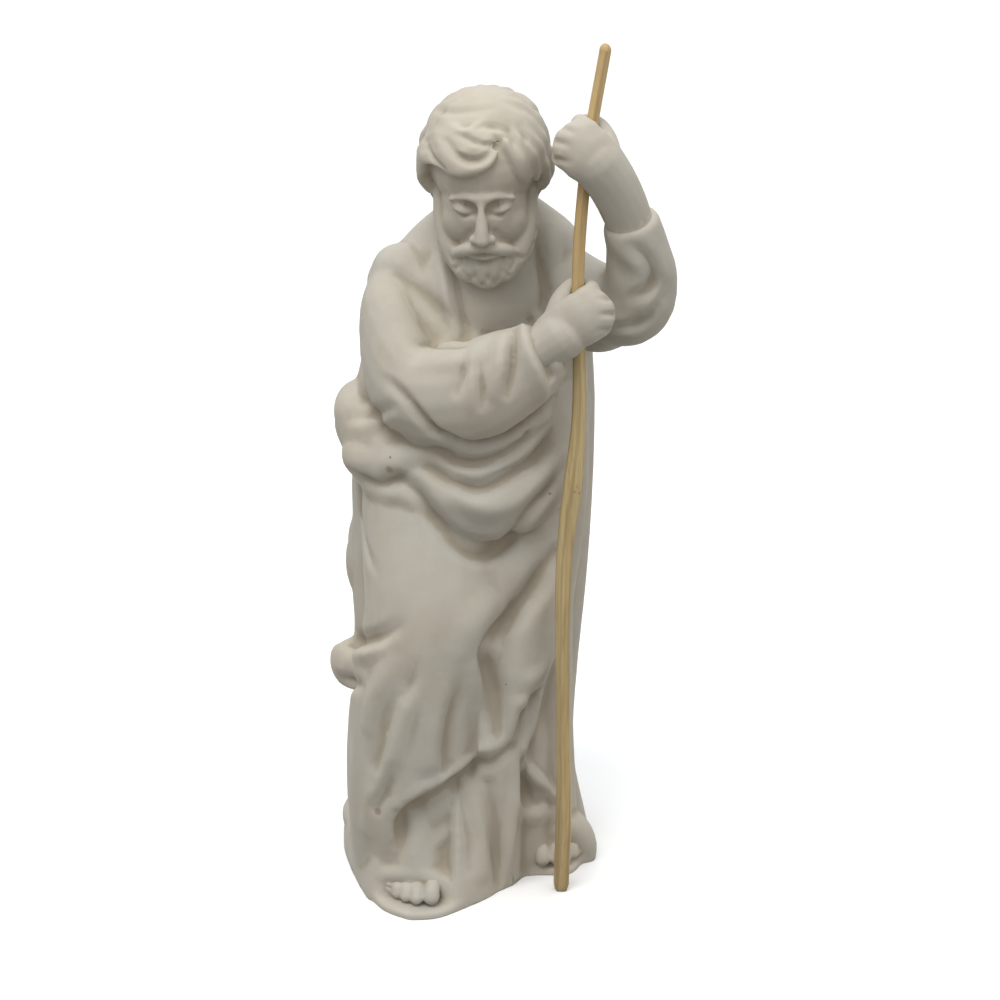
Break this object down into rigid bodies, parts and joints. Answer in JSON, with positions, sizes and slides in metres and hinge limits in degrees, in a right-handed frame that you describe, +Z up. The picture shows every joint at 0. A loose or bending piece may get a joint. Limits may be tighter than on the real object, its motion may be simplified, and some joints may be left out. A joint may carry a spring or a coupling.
{
  "type": "religious statuette with loose staff",
  "caption": "Bisque porcelain standing saint in a draped mantle, bearded head bowed, both fists round a loose wooden staff that reaches the ground beside the plinth.",
  "frame": {"origin": "on the flat underside, under the middle of the figure's body", "axes": "+Z up; the figure faces -Y; its raised left hand and the staff are on the +X side"},
  "size_m": [0.1011, 0.0843, 0.2535],
  "materials": {
    "porcelain": "matt, unglazed, warm grey cream",
    "wood": "whittled, bare, pale tan"
  },
  "bodies": {
    "root": {"figure": "porcelain", "staff": "wood"}
  },
  "joints": []
}
